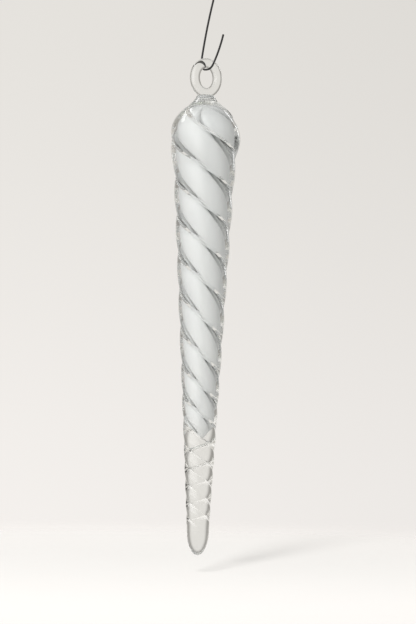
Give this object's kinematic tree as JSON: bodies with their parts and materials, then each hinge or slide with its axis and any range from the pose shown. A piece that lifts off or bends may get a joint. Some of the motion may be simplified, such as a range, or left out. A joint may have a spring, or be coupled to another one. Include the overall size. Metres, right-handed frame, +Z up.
{
  "type": "icicle hanging ornament",
  "caption": "Twisted clear glass icicle over a white core, with a glass loop that swings on a bent wire hook.",
  "frame": {"origin": "the point inside the hook's crook where it bears on a branch, right above the axis of the hanging glass", "axes": "+Z up along the hanging glass; the glass loop lies in the XZ plane, so its hole runs along Y; the wire hook lies in the YZ plane with its lower point towards -Y"},
  "size_m": [0.0253, 0.0253, 0.2201],
  "materials": {
    "black_wire": "black satin wire",
    "clear_glass": "clear polished",
    "white_glass": "opaque white"
  },
  "bodies": {
    "hook": {"wire_hook": "black_wire"},
    "icicle": {"hanging_loop": "clear_glass", "neck_gather": "clear_glass", "clear_casing": "clear_glass", "white_core": "white_glass"}
  },
  "joints": [
    {"name": "swing_on_hook", "type": "hinge", "parent": "hook", "child": "icicle", "pos_m": [0, 0, -0.04358], "axis": [0, 1, 0], "range_deg": [-75, 75]}
  ]
}
